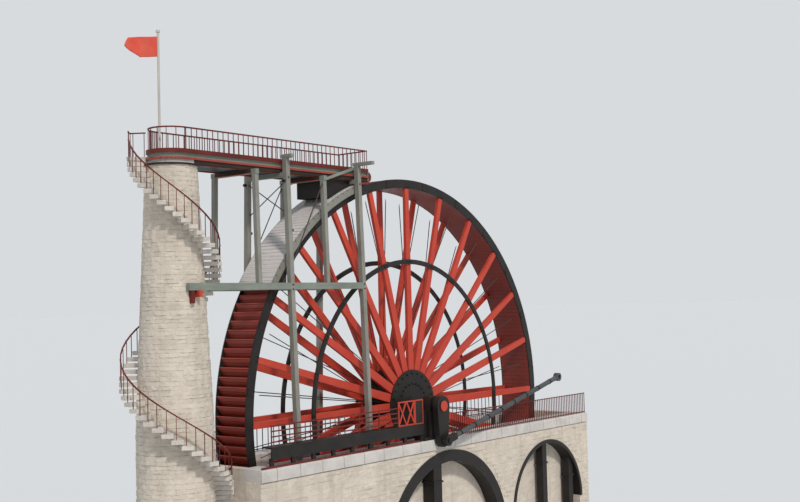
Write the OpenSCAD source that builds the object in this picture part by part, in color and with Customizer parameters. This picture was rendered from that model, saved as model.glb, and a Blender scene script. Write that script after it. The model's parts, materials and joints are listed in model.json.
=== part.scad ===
// Pitch-back water wheel with its wheel pit, stair tower and high launder platform.
// X runs along the wheel, the axle runs along Y with the crank at -Y, and Z is up.
// The origin is on the underside of the walls, straight below the middle of the axle.

/* [Wheel] */
// Outside diameter of the wheel
wheel_d = 22100; // [21600:50:22500]
// Width of the wheel over both shrouds
wheel_w = 1900; // [1700:20:2000]
// Gap between the wheel and the pit floor
floor_gap = 270; // [200:10:400]
// Radial depth of the shrouds
shroud_depth = 430; // [300:10:560]
// Thickness of one shroud
shroud_t = 60; // [30:5:90]
// Thickness of the sole boards
sole_t = 40; // [25:5:70]
// Thickness of one bucket board
bucket_t = 30; // [15:5:45]
// Length of the straight root of a bucket, measured outwards from the sole
bucket_root = 120; // [60:10:180]
// How far the lip of a bucket leads its root round the rim
bucket_lead = 350; // [200:10:420]
// Number of buckets
bucket_count = 168; // [96:24:168]
// Number of spokes on each side
spoke_count = 24; // [16:4:24]
// Width of a spoke where it leaves the hub
spoke_hub_w = 400; // [300:10:430]
// Width of a spoke at the rim
spoke_rim_w = 270; // [180:10:320]
// Thickness of a spoke along the axle
spoke_t = 160; // [100:10:200]
// Radius of the black ring that ties the spokes together
mid_ring_r = 7000; // [5000:50:8500]
// Radial width of that ring
mid_ring_w = 230; // [120:10:320]
// Thickness of that ring
mid_ring_t = 70; // [40:5:100]
// Radius of the hub discs
hub_r = 1700; // [1500:20:2000]
// Thickness of one hub disc
hub_disc_t = 60; // [40:5:90]
// Radius of the hub barrel
hub_barrel_r = 740; // [600:10:850]
// Radius of the axle
axle_r = 270; // [200:5:320]
// Diameter of a tie rod of the wheel
tie_rod_d = 44; // [30:2:60]

/* [Crank] */
// Distance from the axle to the crank pin
crank_throw = 1620; // [1200:20:1700]
// Thickness of the crank
crank_t = 300; // [200:10:340]
// Width of the crank round the axle
crank_boss_r = 480; // [420:10:560]
// Radius of the crank end round the pin
crank_eye_r = 330; // [270:10:380]
// Radius of the crank pin
pin_r = 120; // [80:5:160]
// Length of the connecting rod between the centres of its two eyes
rod_len = 10400; // [8000:100:11400]
// Rise of the connecting rod above the level
rod_rise = 13; // [8:0.5:16]
// Diameter of the connecting rod
rod_d = 250; // [180:10:320]
// Width of the rod's eyes along the pin
rod_eye_t = 260; // [180:10:300]

/* [Pit walls] */
// Gap between the wheel and each pit wall
pit_gap = 350; // [250:10:420]
// Thickness of the pit walls
wall_t = 1100; // [1000:20:1160]
// Drop from the axle to the top of the coping
coping_drop = 1600; // [1400:20:1800]
// Thickness of the coping
coping_t = 500; // [300:20:600]
// How far the coping stands out from the wall
coping_lip = 80; // [40:5:100]
// Left end of the pit walls, measured from the axle
wall_left = 11660; // [11600:5:11680]
// Right end of the pit walls, measured from the axle
wall_right = 14200; // [14000:50:16000]
// Thickness of the end walls
end_wall_t = 400; // [300:10:420]
// Thickness of the pit floor
floor_t = 280; // [200:10:300]
// Depth of the arched recesses
recess_depth = 700; // [500:20:760]

/* [Arches] */
// Outer radius of the wide arch
wide_arch_r = 4900; // [4400:50:5000]
// Thickness of the wide arch ring
wide_arch_band = 550; // [300:10:620]
// Middle of the wide arch, measured from the axle
wide_arch_x = 900; // [700:20:1000]
// Outer radius of the narrow arch
narrow_arch_r = 3500; // [3200:50:3550]
// Thickness of the narrow arch ring
narrow_arch_band = 190; // [120:10:260]
// Middle of the narrow arch, measured from the axle
narrow_arch_x = 9900; // [9700:20:10100]
// Depth of wall between the coping and the arches
arch_crown_gap = 120; // [80:10:300]
// Width of the column below the bearing
bearing_column_w = 640; // [400:10:640]
// Width of the two columns in the narrow arch
arch_column_w = 420; // [300:10:500]
// Distance from the axle to the first of these columns
arch_column_x1 = 9760; // [9500:20:9900]
// Distance from the axle to the second of these columns
arch_column_x2 = 12460; // [12200:20:12600]

/* [Stair tower] */
// Distance from the axle to the middle of the tower
tower_x = 13980; // [13960:5:14100]
// Radius of the tower at its foot
tower_foot_r = 1530; // [1400:10:1540]
// Height above the foot at which the tower starts to taper
tower_straight_h = 11600; // [8000:100:13000]
// Radius of the tower at its head
tower_head_r = 1015; // [980:5:1060]
// Length of a tread outside the tower
tread_l = 740; // [600:10:750]
// Number of treads from the foot to the landing
tread_count = 95; // [80:1:105]
// Angle that one tread turns
tread_turn = 9.6; // [8:0.1:10]
// Thickness of one tread
tread_t = 165; // [100:5:190]
// Height of the stair rail above the treads
stair_rail_h = 900; // [800:10:1000]

/* [Platform] */
// Height of the walking deck above the top of the wheel
deck_over_wheel = 50; // [40:5:150]
// Half of the width between the middles of the two side girders
girder_y = 900; // [860:5:920]
// Right end of the platform, measured from the axle
platform_end = 2900; // [2700:20:3100]
// Height of the girders above the deck
girder_up = 250; // [200:10:290]
// Depth of the girders below the deck
girder_down = 320; // [280:10:400]
// Height of the top flange of the girders
flange_h = 170; // [100:10:200]
// Height of the railing above the girders
railing_h = 900; // [800:10:1000]
// Distance between the balusters
baluster_step = 280; // [150:10:400]
// Thickness of a baluster
baluster_w = 26; // [16:2:40]
// Thickness of the top rails
top_rail_w = 56; // [40:2:80]

/* [Posts and beams] */
// Distance from the axle to the tall posts nearest the tower
tall_post_x1 = 8650; // [8500:20:8800]
// Distance from the axle to the other tall posts
tall_post_x2 = 3970; // [3800:10:4100]
// Distance from the axle to the short posts nearest the tower
short_post_x1 = 10560; // [10400:20:10700]
// Distance from the axle to the other short posts
short_post_x2 = 6380; // [6200:20:6500]
// Width of the tall posts
tall_post_w = 230; // [180:10:300]
// Width of the short posts
short_post_w = 200; // [160:10:200]
// Distance of a tall post's foot from the middle plane
post_foot_y = 1600; // [1560:10:1700]
// Distance of a tall post's head from the middle plane
post_head_y = 1190; // [1180:5:1240]
// Height of the side beams' tops above the axle
side_beam_up = 5980; // [5800:20:6100]
// Depth of the side beams
side_beam_h = 290; // [240:10:400]
// Width of the side beams
side_beam_w = 200; // [180:10:220]
// Distance of a side beam's middle from the middle plane
side_beam_y = 1385; // [1375:5:1420]
// Depth of the cross beams under the platform
cross_beam_h = 200; // [150:10:240]
// Diameter of the brace rods
brace_d = 50; // [30:2:70]

/* [Casing and launder] */
// Gap between the wheel and the boards of the curved casing
casing_gap = 100; // [60:10:120]
// Thickness of the casing boards
casing_t = 80; // [40:5:100]
// Angle from the level at which the casing starts, at its upper end
casing_from = 110.7; // [108:0.1:113]
// Angle at which the casing ends, at the side beams
casing_to = 148.6; // [148:0.1:150]
// Thickness of the launder's boards
launder_t = 50; // [30:5:60]

/* [Walkway and flag] */
// Height of the walkway deck above the coping
walkway_up = 850; // [700:10:950]
// Depth of the walkway girder
walkway_girder_h = 520; // [300:10:560]
// Height of the flagpole above the deck
flagpole_h = 5000; // [4000:50:6000]
// Diameter of the flagpole
flagpole_d = 100; // [70:5:130]
// Length of the flag
flag_l = 1620; // [1200:20:2000]
// Height of the flag
flag_h = 850; // [600:10:1000]

/* [Hidden] */

$fn = 240;
// Joint between two segments of a built-up ring or row of panels
joint = 0.5;
// Running clearance of a shaft in its bearing
run_fit = 0.08;

// Gap between two pieces that bear on each other
seat = 0.3;

wheel_r = wheel_d / 2;
axle_h = wheel_r + floor_gap + floor_t;
shroud_y = wheel_w / 2;
shroud_in = wheel_r - shroud_depth;
sole_out = shroud_in + sole_t;
inside_y = shroud_y - shroud_t;
spoke_out_y = shroud_y - 20;
spoke_in_y = spoke_out_y - spoke_t;
spoke_turn = 360 / spoke_count;

pit_y = shroud_y + pit_gap;
wall_y = pit_y + wall_t;
coping_top = axle_h - coping_drop;
wall_top = coping_top - coping_t;
coping_y = wall_y + coping_lip;
wall_mid_y = pit_y + wall_t - recess_depth / 2 + 30;
wide_arch_z = wall_top - arch_crown_gap - wide_arch_r;
narrow_arch_z = wall_top - 5 * arch_crown_gap - narrow_arch_r;
arch_proud = 60;

crank_y = coping_y + 80;
crank_out = crank_y + crank_t;
pin_len = rod_eye_t + 120;
rod_y = crank_out + 40 + rod_eye_t / 2;

deck_z = axle_h + wheel_r + deck_over_wheel;
deck_t = 80;
girder_low = deck_z - girder_down;
girder_top = deck_z + girder_up;
girder_web = 40;
flange_w = 200;
girder_in = girder_y - flange_w / 2;
girder_out = girder_y + flange_w / 2;
cornice_t = 60;
cornice_r = 1120;
tower_top = girder_low - cornice_t;
head_r = girder_in - 20;
deck_half = girder_in - 5;

stair_rise = deck_z / (tread_count + 1);
stair_from = 145;
landing_from = 123;
landing_t = 140;

beam_top = axle_h + side_beam_up;
beam_low = beam_top - side_beam_h;
post_head_z = deck_z + 300;
post_lean = (post_foot_y - post_head_y) / (post_head_z - coping_top);
beam_in_y = side_beam_y - side_beam_w / 2;
beam_out_y = side_beam_y + side_beam_w / 2;
beam_left = tower_x + 400;
cross_low = girder_low - cross_beam_h;
short_head_y = 1260;

casing_in = wheel_r + casing_gap;
casing_out = casing_in + casing_t;
casing_y = shroud_y + 50;
casing_panels = 6;

launder_left = tower_x - head_r - 40;
launder_right = short_post_x2 - 400;
launder_top = deck_z - deck_t;

walkway_z = coping_top + walkway_up;
walkway_left = 11000;
walkway_right = 950;
walkway_y = wall_y;
flagpole_x = tower_x + 570;

// Distance of a tall post's middle line from the middle plane at a height
function post_y(z) = post_head_y + post_lean * (post_head_z - z);
// Radius of the tower at a height
function tower_r(z) = tower_foot_r - (tower_foot_r - tower_head_r)
    * max(0, z - tower_straight_h) / (tower_top - tower_straight_h);
// Height of a tread's top, counted down from the landing
function tread_top(i) = deck_z - (i + 1) * stair_rise;
// Radius of the stair rail above a tread
function rail_r(z) = tower_r(z) + tread_l - 60;

iron = "#2b2622";
spoke_red = "#c0392b";
rail_red = "#7d2a22";
timber_grey = "#8c9089";
whitewash = "#e6dfd0";
board_white = "#d8cfc8";

// Shared shapes

module both_sides() {
    children();
    mirror([0, 1, 0]) children();
}

// Profile in X and Z, drawn out along Y between two values
module across(y0, y1) {
    translate([0, y1, 0]) rotate([90, 0, 0]) linear_extrude(y1 - y0) children();
}

// Profile in Y and Z, drawn out along X between two values
module along(x0, x1) {
    translate([x0, 0, 0]) rotate([90, 0, 90]) linear_extrude(x1 - x0) children();
}

// Round bar about the Y axis line through the axle
module on_axle(r, y0, y1) {
    translate([0, y1, axle_h]) rotate([90, 0, 0]) cylinder(r = r, h = y1 - y0);
}

// Arc of rectangular section about the axle, from one angle to another, counted from +X up to +Z
module axle_arc(r0, r1, y0, y1, from, to) {
    translate([0, y1, axle_h]) rotate([90, 0, 0]) rotate([0, 0, from])
        rotate_extrude(angle = to - from) translate([r0, 0]) square([r1 - r0, y1 - y0]);
}

// Ring made of as many segments as there are spokes, each centred on its spoke
module segment_ring(r0, r1, y0, y1) {
    cut = joint / r1 * 180 / PI;
    for (i = [0 : spoke_count - 1])
        axle_arc(r0, r1, y0, y1, (i - 0.5) * spoke_turn + cut, (i + 0.5) * spoke_turn - cut);
}

// Straight bar from one point to another
module bar(a, b, d, sides = 6) {
    v = b - a;
    flat = norm([v[0], v[1]]);
    translate(a) rotate([0, atan2(flat, v[2]), atan2(v[1], v[0])]) cylinder(d = d, h = norm(v), $fn = sides);
}

// Square upright
module upright(x, y, w, z0, z1) {
    translate([x - w / 2, y - w / 2, z0]) cube([w, w, z1 - z0]);
}

// Masonry

module pit_floor() {
    color(whitewash) translate([-wall_left + end_wall_t, -pit_y, 0])
        cube([wall_left + wall_right - 2 * end_wall_t, 2 * pit_y, floor_t]);
}

// Round-headed outline of an arch: the head has radius r and the legs stand half_w apart
module arch_outline(x, z, r, half_w) {
    translate([x, z]) circle(r = r);
    translate([x - half_w, 0]) square([2 * half_w, z]);
}

module head_only(x, z, r) {
    intersection() {
        translate([x, z]) circle(r = r);
        translate([x - r, z]) square([2 * r, r]);
    }
}

module recess(x, z, r, band) {
    across(-wall_y - 10, -wall_y + recess_depth) {
        head_only(x, z, r);
        translate([x - r + band, -10]) square([2 * (r - band), z + 10.01]);
    }
}

module pit_wall() {
    difference() {
        translate([-wall_left, -wall_y, 0]) cube([wall_left + wall_right, wall_t, wall_top]);
        recess(wide_arch_x, wide_arch_z, wide_arch_r, wide_arch_band);
        recess(narrow_arch_x, narrow_arch_z, narrow_arch_r, narrow_arch_band);
    }
}

module near_wall() { color(whitewash) pit_wall(); }

module far_wall() { color(whitewash) mirror([0, 1, 0]) pit_wall(); }

module end_walls() {
    color(whitewash) for (x = [-wall_left, wall_right - end_wall_t])
        translate([x, -pit_y, 0]) cube([end_wall_t, 2 * pit_y, coping_top]);
}

// Coping stones with a rounded outer edge
module copings() {
    nose = 90;
    steps = 6;
    profile = concat([[-pit_y, wall_top], [-pit_y, coping_top]],
        [for (i = [0 : steps]) let (a = 90 + 90 * i / steps)
            [-coping_y + nose + nose * cos(a), coping_top - nose + nose * sin(a)]],
        [[-coping_y, wall_top]]);
    color(whitewash) both_sides() along(-wall_left, wall_right) polygon(profile);
}

module arch_ring(x, z, r, band) {
    across(-wall_y - arch_proud, -wall_y + recess_depth) difference() {
        head_only(x, z, r);
        translate([x, z]) circle(r = r - band);
    }
}

module arch_rings() {
    color(iron) both_sides() {
        arch_ring(wide_arch_x, wide_arch_z, wide_arch_r, wide_arch_band);
        arch_ring(narrow_arch_x, narrow_arch_z, narrow_arch_r, narrow_arch_band);
    }
}

// Column that runs from the foot of the wall to the soffit of its arch
module arch_column(x, w, arch_x, arch_z, soffit_r) {
    plinth = 50;
    intersection() {
        union() {
            upright(x, -wall_mid_y, w, 0, axle_h);
            upright(x, -wall_mid_y, w + 2 * plinth, 0, 4 * plinth);
        }
        across(-wall_y, -wall_y + recess_depth) arch_outline(arch_x, arch_z, soffit_r, soffit_r);
    }
}

module arch_columns() {
    wide_soffit = wide_arch_r - wide_arch_band;
    narrow_soffit = narrow_arch_r - narrow_arch_band;
    color(iron) both_sides() {
        arch_column(0, bearing_column_w, wide_arch_x, wide_arch_z, wide_soffit);
        for (x = [arch_column_x1, arch_column_x2])
            arch_column(x, arch_column_w, narrow_arch_x, narrow_arch_z, narrow_soffit);
    }
}

// Bearings and walkway

module bearing() {
    block_w = 2 * axle_r + 400;
    block_t = 560;
    y0 = -wall_mid_y - block_t / 2;
    y1 = -wall_mid_y + block_t / 2;
    foot = 140;
    difference() {
        union() {
            across(y0, y1) translate([-block_w / 2, coping_top])
                square([block_w, coping_drop]);
            on_axle(block_w / 2, y0, y1);
            translate([-block_w, y0 - 30, coping_top]) cube([2 * block_w, block_t + 60, foot]);
            across(y0 + 200, y1 - 200) polygon([[-block_w, coping_top], [block_w, coping_top],
                [block_w / 2, axle_h - 200], [-block_w / 2, axle_h - 200]]);
        }
        on_axle(axle_r + run_fit, y0 - 100, y1 + 100);
    }
}

module bearings() { color(iron) both_sides() bearing(); }

module walkway_girder() {
    web = 60;
    deck = 70;
    color(iron) {
        along(-walkway_left, -walkway_right) {
            translate([-walkway_y, walkway_z - walkway_girder_h]) square([web, walkway_girder_h]);
            translate([-walkway_y, walkway_z - deck]) square([walkway_y - post_foot_y - 220, deck]);
            translate([-walkway_y, walkway_z - walkway_girder_h]) square([3 * web, web]);
        }
        for (i = [0 : 8])
            translate([-walkway_left + i * (walkway_left - walkway_right - 200) / 8, -walkway_y + 75, coping_top])
                cube([200, 100, walkway_z - walkway_girder_h - coping_top + 1]);
    }
}

// Railing panel along X: posts at a step, and rails at the given heights
module rail_panel(x0, x1, y, z, h, step, rails, w) {
    n = ceil((x1 - x0) / step);
    for (i = [0 : n])
        translate([x0 + i * (x1 - x0 - w) / n, y - w / 2, z]) cube([w, w, h]);
    for (level = rails)
        translate([x0, y - w / 2 - 6, z + level]) cube([x1 - x0, w + 12, w + 12]);
}

module walkway_railings() {
    rail_y = walkway_y - 45;
    rail_h = 1150;
    gap_at_bearing = crank_boss_r + 820;
    screens = 1900;
    inset = 100;
    color(rail_red) {
        rail_panel(-walkway_left, -walkway_right - screens, -walkway_y + 30, walkway_z, 900, 1500,
            [180, 400, 620, 840], 40);
        rail_panel(gap_at_bearing, wall_right - inset, -rail_y, coping_top, rail_h, 180, [40, rail_h - 60], 30);
        rail_panel(-wall_left + inset, -gap_at_bearing, rail_y, coping_top, rail_h, 360, [40, rail_h - 60], 30);
        rail_panel(gap_at_bearing, wall_right - inset, rail_y, coping_top, rail_h, 360, [40, rail_h - 60], 30);
        translate([-wall_left + inset, -rail_y - 20, coping_top])
            cube([wall_left - inset - gap_at_bearing, 40, 90]);
    }
}

// Lattice screen and framed guard between the walkway and the bearing
module bearing_screens() {
    bar_w = 60;
    screen_y = -walkway_y + 60;
    low = walkway_z;
    high = 1150;
    lattice_x0 = -walkway_right - 1850;
    lattice_w = 1200;
    guard_w = 620;
    color(spoke_red) across(screen_y - 25, screen_y + 25) {
        difference() {
            translate([lattice_x0, low]) square([lattice_w, high]);
            translate([lattice_x0 + bar_w, low + bar_w])
                square([lattice_w - 2 * bar_w, high - 2 * bar_w]);
        }
        for (half = [0, 1])
            for (flip = [0, 1])
                translate([lattice_x0 + lattice_w * (half + 0.5) / 2, low + high / 2]) mirror([flip, 0])
                    rotate(atan2(high, lattice_w / 2)) square([high * 1.02, bar_w], center = true);
    }
    color(iron) across(screen_y - 25, screen_y + 25)
        translate([lattice_x0 + lattice_w + 20, low]) square([guard_w, high]);
}

// Stair tower

module tower_shape() {
    translate([-tower_x, 0, 0]) {
        cylinder(r = tower_foot_r, h = tower_straight_h);
        translate([0, 0, tower_straight_h])
            cylinder(r1 = tower_foot_r, r2 = tower_head_r, h = tower_top - tower_straight_h);
    }
}

module tower() { color(whitewash) tower_shape(); }

module tower_cornice() {
    color(iron) translate([-tower_x, 0, tower_top]) {
        cylinder(r = cornice_r, h = cornice_t);
        cylinder(r = head_r, h = deck_z - deck_t - tower_top);
    }
}

// Wedge of a ring about the tower, between two angles counted from +X towards +Y
module wedge(r0, r1, z0, z1, from, to) {
    translate([-tower_x, 0, z0]) rotate([0, 0, from]) rotate_extrude(angle = to - from)
        translate([r0, 0]) square([r1 - r0, z1 - z0]);
}

// Stone treads built out from the tower, each one lapping a little under the one above
module stair_treads() {
    lap = 2;
    root = 600;
    color(whitewash) for (i = [0 : tread_count - 1]) {
        top = tread_top(i);
        reach = tower_r(top) + tread_l;
        from = stair_from + i * tread_turn;
        to = from + tread_turn + lap;
        difference() {
            translate([-tower_x, 0, top - tread_t]) linear_extrude(tread_t) polygon([
                for (corner = [[root, from], [reach, from], [reach, to], [root, to]])
                    corner[0] * [cos(corner[1]), sin(corner[1])]]);
            tower_shape();
            translate([-tower_x, 0, tower_top - joint / 2])
                cylinder(r = cornice_r + joint / 2, h = deck_z - tower_top);
        }
    }
}

// Landing slab on a block that stands on the cornice
module stair_landing() {
    under = deck_z - landing_t;
    out = tower_head_r + tread_l;
    color(whitewash) translate([-tower_x, 0, 0]) rotate([0, 0, landing_from])
        rotate_extrude(angle = stair_from - landing_from)
            polygon([[deck_half + joint, girder_low], [cornice_r, girder_low], [cornice_r, under],
                [out, under], [out, deck_z], [deck_half + joint, deck_z]]);
}

// Stair rail in short lengths, each on its own few balusters
module stair_railing() {
    rail_w = 50;
    per_length = 5;
    color(rail_red) {
        for (i = [0 : tread_count - 1]) {
            top = tread_top(i);
            r = rail_r(top);
            slope = atan2(stair_rise, r * tread_turn * PI / 180);
            chord = 2 * r * sin(tread_turn / 2) / cos(slope);
            shorten = (i % per_length == per_length - 1) ? 18 : 0;
            translate([-tower_x, 0, 0]) rotate([0, 0, stair_from + (i + 0.5) * tread_turn])
                translate([r, 0, top]) {
                    translate([-12, -12, 0]) cube([24, 24, stair_rail_h + 20]);
                    translate([0, 0, stair_rail_h + 20]) rotate([0, 0, tread_turn / 2]) rotate([-slope, 0, 0])
                        translate([-rail_w / 2, 0, -rail_w / 2]) cube([rail_w, chord - shorten, rail_w]);
                }
        }
        landing_rail();
    }
}

// Rail round the landing's outer edge, and a length of its own across the far end
module landing_rail() {
    r = rail_r(deck_z);
    rail_w = 50;
    rail_up = 1000;
    baluster_w = 24;
    end_from = landing_from + 2;
    guard_from = girder_out + 40;
    guard_to = r - rail_w / 2 - joint;
    for (a = [end_from, (landing_from + stair_from) / 2, stair_from - 1.5])
        translate([-tower_x, 0, deck_z]) rotate([0, 0, a])
            translate([r - baluster_w / 2, -baluster_w / 2, 0]) cube([baluster_w, baluster_w, rail_up]);
    wedge(r - rail_w / 2, r + rail_w / 2, deck_z + rail_up, deck_z + rail_up + rail_w,
        landing_from + 1, stair_from - 0.8);
    translate([-tower_x, 0, deck_z]) rotate([0, 0, end_from]) {
        translate([guard_from, -rail_w / 2, rail_up]) cube([guard_to - guard_from, rail_w, rail_w]);
        for (along = [guard_from + rail_w, guard_to - 2 * rail_w])
            translate([along, -baluster_w / 2, 0]) cube([baluster_w, baluster_w, rail_up + rail_w / 2]);
    }
}

// Platform

module platform_deck() {
    half = deck_half;
    color(rail_red) {
        translate([-tower_x, -half, deck_z - deck_t]) cube([tower_x - platform_end - flange_w / 2, 2 * half, deck_t]);
        translate([-tower_x, 0, deck_z - deck_t]) cylinder(r = half, h = deck_t);
    }
}

// Section of a plate girder, centred on its web, with its foot at zero
module girder_section() {
    h = girder_up + girder_down;
    ledge_from = girder_down - 160;
    ledge_h = 90;
    translate([-girder_web / 2, 0]) square([girder_web, h]);
    translate([-flange_w / 2, h - flange_h]) square([flange_w, flange_h]);
    translate([-flange_w / 2, ledge_from]) square([flange_w, ledge_h]);
}

module side_girders() {
    cut = joint / girder_y * 180 / PI;
    color(timber_grey) {
        for (side = [-1, 1])
            translate([-tower_x + joint, side * girder_y, girder_low]) rotate([90, 0, 90])
                linear_extrude(tower_x - platform_end - joint - flange_w / 2) girder_section();
        translate([-platform_end - flange_w / 2 + joint, -girder_out, girder_low])
            cube([girder_web, 2 * girder_out, girder_up + girder_down]);
        for (span = [[90, landing_from], [stair_from, 270]]) {
            n = 3;
            turn = (span[1] - span[0]) / n;
            for (i = [0 : n - 1])
                translate([-tower_x, 0, girder_low]) rotate([0, 0, span[0] + i * turn + cut])
                    rotate_extrude(angle = turn - 2 * cut) translate([girder_y, 0]) girder_section();
        }
    }
}

module platform_railings() {
    n = floor((tower_x - platform_end) / baluster_step);
    run = tower_x - platform_end - 40;
    ring_n = 5;
    color(rail_red) {
        for (side = [-1, 1]) translate([0, side * girder_y, 0]) {
            for (i = [0 : n])
                translate([-tower_x + 10 + i * (run - baluster_w) / n, -baluster_w / 2, girder_top])
                    cube([baluster_w, baluster_w, railing_h - 10]);
            translate([-tower_x + 10, -top_rail_w / 2, girder_top + railing_h - top_rail_w])
                cube([run, top_rail_w, top_rail_w]);
        }
        for (i = [0 : 6])
            translate([-platform_end - flange_w / 2 + 4, -girder_y + 90 + i * (2 * girder_y - 206) / 6, girder_top])
                cube([baluster_w, baluster_w, railing_h - 10]);
        translate([-platform_end - flange_w / 2 + 2, -girder_y + 60, girder_top + railing_h - top_rail_w])
            cube([top_rail_w, 2 * girder_y - 120, top_rail_w]);
        for (span = [[91, landing_from], [stair_from, 269]]) {
            for (i = [0 : ring_n])
                translate([-tower_x, 0, girder_top])
                    rotate([0, 0, span[0] + 1 + i * (span[1] - span[0] - 2) / ring_n])
                        translate([girder_y - baluster_w / 2, -baluster_w / 2, 0])
                            cube([baluster_w, baluster_w, railing_h - 10]);
            wedge(girder_y - top_rail_w / 2, girder_y + top_rail_w / 2, girder_top + railing_h - top_rail_w,
                girder_top + railing_h, span[0], span[1]);
        }
    }
}

// Open wooden trough that brings the water under the deck
module launder_trough() {
    half = girder_y - flange_w / 2 - 20;
    color(iron) along(-launder_left, -launder_right) difference() {
        translate([-half, girder_low]) square([2 * half, launder_top - girder_low]);
        translate([-half + launder_t, girder_low + launder_t])
            square([2 * half - 2 * launder_t, launder_top - girder_low]);
    }
}

// Closed water box that leads from the trough down to the casing's upper end
module penstock() {
    half = girder_y - flange_w / 2 - 20;
    left = launder_right - joint;
    right = tall_post_x2 - 670;
    drop = 700;
    color(iron) difference() {
        translate([-left, -half, cross_low - drop]) cube([left - right, 2 * half, launder_top - cross_low + drop]);
        on_axle(casing_out + seat, -half - 10, half + 10);
        translate([-tall_post_x2 - tall_post_w / 2, -half - 10, cross_low])
            cube([tall_post_w, 2 * half + 20, cross_beam_h]);
    }
}

// Cross beams that carry the girders, the bearer of the casing and the struts at the heads of the posts
module cross_beams() {
    top = girder_low;
    in_top = post_y(top) - tall_post_w / 2;
    in_low = post_y(cross_low) - tall_post_w / 2;
    reach = short_head_y + short_post_w / 2 + 40;
    color(timber_grey) {
        for (x = [short_post_x1, short_post_x2])
            translate([-x - short_post_w / 2, -reach, cross_low]) cube([short_post_w, 2 * reach, cross_beam_h]);
        for (x = [tall_post_x1, tall_post_x2])
            along(-x - tall_post_w / 2, -x + tall_post_w / 2)
                polygon([[-in_low, cross_low], [in_low, cross_low], [in_top, top], [-in_top, top]]);
        casing_bearer();
        both_sides() head_strut();
    }
}

module casing_bearer() {
    bearer_w = 450;
    bearer_h = 240;
    x = casing_out * cos(casing_to) - 265;
    half = beam_in_y - seat;
    difference() {
        translate([x, -half, beam_low]) cube([bearer_w, 2 * half, bearer_h]);
        on_axle(casing_out + seat, -2 * half, 2 * half);
        on_axle(casing_out + 10, -2 * half, -casing_y - joint);
        on_axle(casing_out + 10, casing_y + joint, 2 * half);
    }
}

// Sloping strut that runs from the short post's head up to the tall post
module head_strut() {
    depth = 130;
    left = -short_post_x2 + short_post_w / 2 + seat;
    right = -tall_post_x2 - tall_post_w / 2 - seat;
    foot = girder_low - 260;
    head = girder_low + 445;
    across(-girder_out - 80, -girder_out - seat)
        polygon([[left, foot], [left, foot + depth], [right, head + depth], [right, head]]);
}

// Short timbers that reach out over the heads of the tall posts
module outrigger_caps() {
    cap_w = 200;
    cap_h = 150;
    color(timber_grey) both_sides() for (cap = [[tall_post_x1, 420], [tall_post_x2, 980]])
        translate([-cap[0] - cap_w / 2, -post_head_y - cap[1], post_head_z])
            cube([cap_w, post_head_y + cap[1] - girder_out - 1, cap_h]);
}

// Post that leans inwards, cut level at its foot and head
module leaning_post(x, w, foot_y, foot_z, head_y, head_z) {
    along(-x - w / 2, -x + w / 2) polygon([[-foot_y - w / 2, foot_z], [-foot_y + w / 2, foot_z],
        [-head_y + w / 2, head_z], [-head_y - w / 2, head_z]]);
}

module tall_posts() {
    color(timber_grey) both_sides() for (x = [tall_post_x1, tall_post_x2])
        leaning_post(x, tall_post_w, post_foot_y, coping_top, post_head_y, post_head_z);
}

module short_posts() {
    color(timber_grey) both_sides() for (x = [short_post_x1, short_post_x2])
        leaning_post(x, short_post_w, side_beam_y, beam_top, short_head_y, cross_low);
}

// Side beams, let in between the tall posts
module side_beams() {
    half = tall_post_w / 2 + seat;
    color(timber_grey) both_sides()
        for (span = [[-beam_left, -tall_post_x1 - half], [-tall_post_x1 + half, -tall_post_x2 - half]])
            translate([span[0], -beam_out_y, beam_low])
                cube([span[1] - span[0], side_beam_w, side_beam_h]);
}

// Timber ends that stand out of the tower and carry the side beams
module beam_brackets() {
    bracket_w = 170;
    bracket_h = 260;
    bracket_out = beam_out_y + 100;
    root = 800;
    color(spoke_red) difference() {
        both_sides() translate([-tower_x, -bracket_out, beam_low - bracket_h - seat])
            cube([bracket_w, bracket_out - root, bracket_h]);
        tower_shape();
    }
}

module brace_rods() {
    high = cross_low - 120;
    mid = high - 1500;
    foot = beam_top + 700;
    apart = 40;
    x1 = tall_post_x1;
    x2 = short_post_x2;
    color(iron) difference() {
        union() {
            for (side = [-1, 1])
                bar([-x1 + side * apart, -side * post_y(high), high],
                    [-x1 + side * apart, side * post_y(mid), mid], brace_d);
            both_sides()
                bar([-x2 - short_post_w / 2 + apart, -short_head_y - 30, high],
                    [-x1 + tall_post_w / 2 - apart, -post_y(foot), foot], brace_d);
        }
        both_sides() {
            leaning_post(x1, tall_post_w + 2 * seat, post_foot_y, coping_top, post_head_y, post_head_z);
            leaning_post(x2, short_post_w + 2 * seat, side_beam_y, beam_top, short_head_y, cross_low);
        }
    }
}

// Curved casing over the upstream quarter of the wheel

module casing_boards() {
    turn = (casing_to - casing_from) / casing_panels;
    cut = joint / 2 / casing_out * 180 / PI;
    color(board_white) for (i = [0 : casing_panels - 1])
        axle_arc(casing_in, casing_out, -casing_y, casing_y,
            casing_from + i * turn + cut, casing_from + (i + 1) * turn - cut);
}

module casing_edges() {
    edge_t = 40;
    edge_depth = 330;
    turn = (casing_to - casing_from) / casing_panels;
    cut = joint / 2 / casing_out * 180 / PI;
    color(timber_grey) both_sides() for (i = [0 : casing_panels - 1])
        axle_arc(casing_out - edge_depth, casing_out, -casing_y - edge_t, -casing_y - seat,
            casing_from + i * turn + cut, casing_from + (i + 1) * turn - cut);
}

// Flag and bench

module flagpole() {
    color(rail_red) translate([-flagpole_x, 0, deck_z]) {
        cylinder(d = flagpole_d, h = flagpole_h);
        translate([0, 0, flagpole_h]) cylinder(d = 1.7 * flagpole_d, h = 90);
        cylinder(d = 2.4 * flagpole_d, h = 60);
    }
}

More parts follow.
